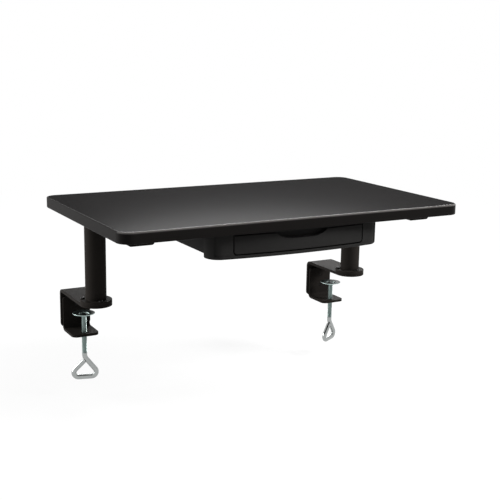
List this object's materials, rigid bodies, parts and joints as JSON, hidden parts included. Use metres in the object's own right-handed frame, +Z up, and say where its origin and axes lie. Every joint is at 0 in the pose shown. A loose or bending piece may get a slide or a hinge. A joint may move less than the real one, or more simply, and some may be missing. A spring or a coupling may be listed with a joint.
{
  "type": "clamp-on desk shelf with drawer",
  "caption": "Rectangular shelf board on round posts with screw desk clamps at its rear, and a shallow drawer with a finger scoop under its front.",
  "frame": {"origin": "where the desk's rear top edge lies in the clamps, midway between them: in the plane of the upper plates' undersides and of the lower brackets' front walls", "axes": "+Z up, +X to the user's right along the board's length, -Y towards the user, where the drawer opens"},
  "size_m": [0.6096, 0.3586, 0.3206],
  "materials": {
    "board_laminate": "black melamine laminate, fine satin",
    "board_edge": "black plastic edge band, satin",
    "black_steel": "black powder coat, fine satin",
    "black_screws": "black oxide",
    "zinc_screw": "bright zinc plated",
    "zinc_pad": "bright zinc plated pressing",
    "zinc_fasteners": "zinc plated",
    "plain_steel": "plain rolled",
    "bezel_plastic": "moulded, fine matte grain",
    "housing_plastic": "moulded, matte",
    "front_plastic": "moulded, fine matte grain",
    "tray_plastic": "moulded, satin",
    "rail_plastic": "smooth sliding plastic"
  },
  "bodies": {
    "stand": {"bezel_screws": "zinc_fasteners", "board_core": "board_laminate", "drawer_bezel": "bezel_plastic", "drawer_housing": "housing_plastic", "edge_band": "board_edge", "housing_screws": "zinc_fasteners", "left_arm_screws": "zinc_fasteners", "left_bracket_bolts": "black_screws", "left_flange_screws": "black_screws", "left_foot_flange": "black_steel", "left_lower_bracket": "black_steel", "left_post_bolt": "zinc_fasteners", "left_post_plug": "plain_steel", "left_post_tube": "black_steel", "left_runner": "plain_steel", "left_support_arm": "black_steel", "left_upper_bracket": "black_steel", "right_arm_screws": "zinc_fasteners", "right_bracket_bolts": "black_screws", "right_flange_screws": "black_screws", "right_foot_flange": "black_steel", "right_lower_bracket": "black_steel", "right_post_bolt": "zinc_fasteners", "right_post_plug": "plain_steel", "right_post_tube": "black_steel", "right_runner": "plain_steel", "right_support_arm": "black_steel", "right_upper_bracket": "black_steel", "runner_screws": "zinc_fasteners"},
    "drawer": {"drawer_tray": "tray_plastic", "drawer_front": "front_plastic", "front_screws": "zinc_fasteners", "left_slide_rail": "rail_plastic", "right_slide_rail": "rail_plastic", "slide_screws": "zinc_fasteners"},
    "left_pad": {"left_pressure_pad": "zinc_pad"},
    "left_screw": {"left_clamp_screw": "zinc_screw"},
    "right_pad": {"right_pressure_pad": "zinc_pad"},
    "right_screw": {"right_clamp_screw": "zinc_screw"}
  },
  "joints": [
    {"name": "drawer_slide", "type": "slide", "parent": "stand", "child": "drawer", "axis": [0, -1, 0], "range_m": [0, 0.15]},
    {"name": "left_pad_slide", "type": "slide", "parent": "stand", "child": "left_pad", "axis": [0, 0, 1], "range_m": [-0.03, 0.0295]},
    {"name": "left_screw_turn", "type": "hinge", "parent": "left_pad", "child": "left_screw", "pos_m": [-0.2545, -0.0385, 0], "axis": [0, 0, 1], "range_deg": [-7190, 7060]},
    {"name": "right_pad_slide", "type": "slide", "parent": "stand", "child": "right_pad", "axis": [0, 0, 1], "range_m": [-0.03, 0.0295]},
    {"name": "right_screw_turn", "type": "hinge", "parent": "right_pad", "child": "right_screw", "pos_m": [0.2545, -0.0385, 0], "axis": [0, 0, 1], "range_deg": [-7190, 7060]}
  ],
  "couplings": [
    {"joint": "left_pad_slide", "follows": "left_screw_turn", "m_per_rad": 0.00023873},
    {"joint": "right_pad_slide", "follows": "right_screw_turn", "m_per_rad": 0.00023873}
  ]
}
